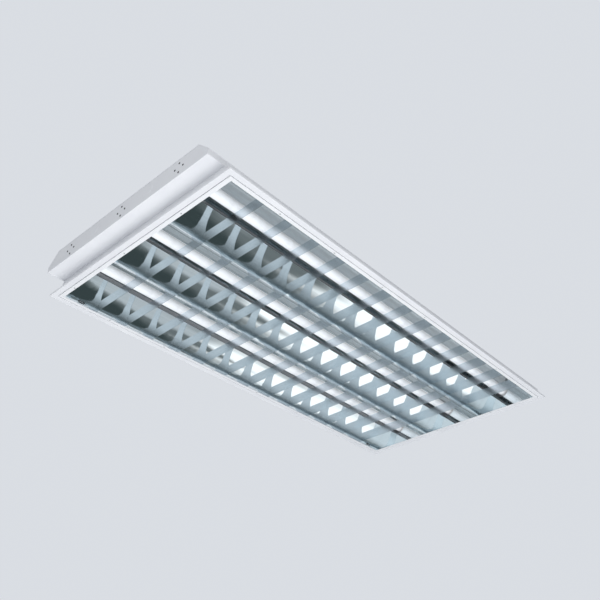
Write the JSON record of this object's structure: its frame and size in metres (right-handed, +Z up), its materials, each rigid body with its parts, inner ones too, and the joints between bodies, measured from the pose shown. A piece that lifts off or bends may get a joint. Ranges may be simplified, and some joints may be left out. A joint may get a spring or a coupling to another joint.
{
  "type": "recessed troffer light",
  "caption": "Recessed troffer light with a white steel shell, raised ends and a hinged mirror louvre of V reflectors and flat cross blades under straight tubular lamps.",
  "frame": {"origin": "centre of the flange's visible face, which rests on the ceiling tees, at the middle of the light", "axes": "+X along the lamps, +Y across them towards the catch side, +Z up into the ceiling"},
  "size_m": [1.258, 0.595, 0.083],
  "materials": {
    "shell_white": "satin white stove enamel on sheet steel",
    "frame_white": "satin white stove enamel",
    "mirror_sheet": "bright anodised aluminium sheet",
    "blade_sheet": "satin anodised aluminium sheet",
    "lamp_glass": "phosphor-coated glass tube, opaque white",
    "lamp_cap": "drawn aluminium",
    "holder_plastic": "moulded",
    "ballast_case": "coated steel",
    "plated_steel": "zinc plated",
    "dark_screw": "black phosphated",
    "rivet": "plain",
    "rubber": "moulded",
    "lead_sleeve": "extruded sleeve"
  },
  "bodies": {
    "housing": {"body_pan": "shell_white", "end_channel_near": "shell_white", "end_channel_far": "shell_white", "end_plate_near": "shell_white", "end_plate_far": "shell_white", "top_reflector_1": "mirror_sheet", "top_reflector_2": "mirror_sheet", "top_reflector_3": "mirror_sheet", "lampholders_1": "holder_plastic", "lampholders_2": "holder_plastic", "lampholders_3": "holder_plastic", "ballast_1": "ballast_case", "ballast_2": "ballast_case", "ballast_connectors": "holder_plastic", "gear_screws": "plated_steel", "terminal_block": "holder_plastic", "earth_stud": "plated_steel", "cable_grommet": "rubber", "lampholder_screws": "dark_screw", "shell_rivets": "rivet", "wiring_harness": "lead_sleeve"},
    "louvre": {"louvre_rail_near": "frame_white", "louvre_rail_far": "frame_white", "louvre_rail_hinge_side": "frame_white", "louvre_rail_catch_side": "frame_white", "centre_reflector_1": "mirror_sheet", "centre_reflector_2": "mirror_sheet", "side_reflector_hinge_side": "mirror_sheet", "side_reflector_catch_side": "mirror_sheet", "end_reflector_near": "mirror_sheet", "end_reflector_far": "mirror_sheet", "cross_blade_01": "blade_sheet", "cross_blade_02": "blade_sheet", "cross_blade_03": "blade_sheet", "cross_blade_04": "blade_sheet", "cross_blade_05": "blade_sheet", "cross_blade_06": "blade_sheet", "cross_blade_07": "blade_sheet", "cross_blade_08": "blade_sheet", "cross_blade_09": "blade_sheet", "cross_blade_10": "blade_sheet", "cross_blade_11": "blade_sheet", "cross_blade_12": "blade_sheet", "cross_blade_13": "blade_sheet", "hinge_pins": "plated_steel", "catch_guides": "plated_steel", "catch_spring_near": "plated_steel", "catch_spring_far": "plated_steel", "louvre_rivets": "rivet"},
    "catch_near": {"catch_bolt_near": "plated_steel"},
    "catch_far": {"catch_bolt_far": "plated_steel"},
    "lamp_1": {"lamp_1_tube": "lamp_glass", "lamp_1_caps": "lamp_cap", "lamp_1_rotors": "holder_plastic"},
    "lamp_2": {"lamp_2_tube": "lamp_glass", "lamp_2_caps": "lamp_cap", "lamp_2_rotors": "holder_plastic"},
    "lamp_3": {"lamp_3_tube": "lamp_glass", "lamp_3_caps": "lamp_cap", "lamp_3_rotors": "holder_plastic"}
  },
  "joints": [
    {"name": "louvre_swing", "type": "hinge", "parent": "housing", "child": "louvre", "pos_m": [0, -0.2803, 0.0024], "axis": [-1, 0, 0], "range_deg": [0, 90]},
    {"name": "catch_near_slide", "type": "slide", "parent": "louvre", "child": "catch_near", "axis": [1, 0, 0], "range_m": [0, 0.005], "stiffness_N_per_m": 200, "springref_m": -0.004, "deforming": ["catch_spring_near"]},
    {"name": "catch_far_slide", "type": "slide", "parent": "louvre", "child": "catch_far", "axis": [-1, 0, 0], "range_m": [0, 0.005], "stiffness_N_per_m": 200, "springref_m": -0.004, "deforming": ["catch_spring_far"]},
    {"name": "lamp_1_twist", "type": "hinge", "parent": "housing", "child": "lamp_1", "pos_m": [0, -0.1832, 0.0555], "axis": [1, 0, 0], "range_deg": [0, 90]},
    {"name": "lamp_2_twist", "type": "hinge", "parent": "housing", "child": "lamp_2", "pos_m": [0, 0, 0.0555], "axis": [1, 0, 0], "range_deg": [0, 90]},
    {"name": "lamp_3_twist", "type": "hinge", "parent": "housing", "child": "lamp_3", "pos_m": [0, 0.1832, 0.0555], "axis": [1, 0, 0], "range_deg": [0, 90]}
  ]
}
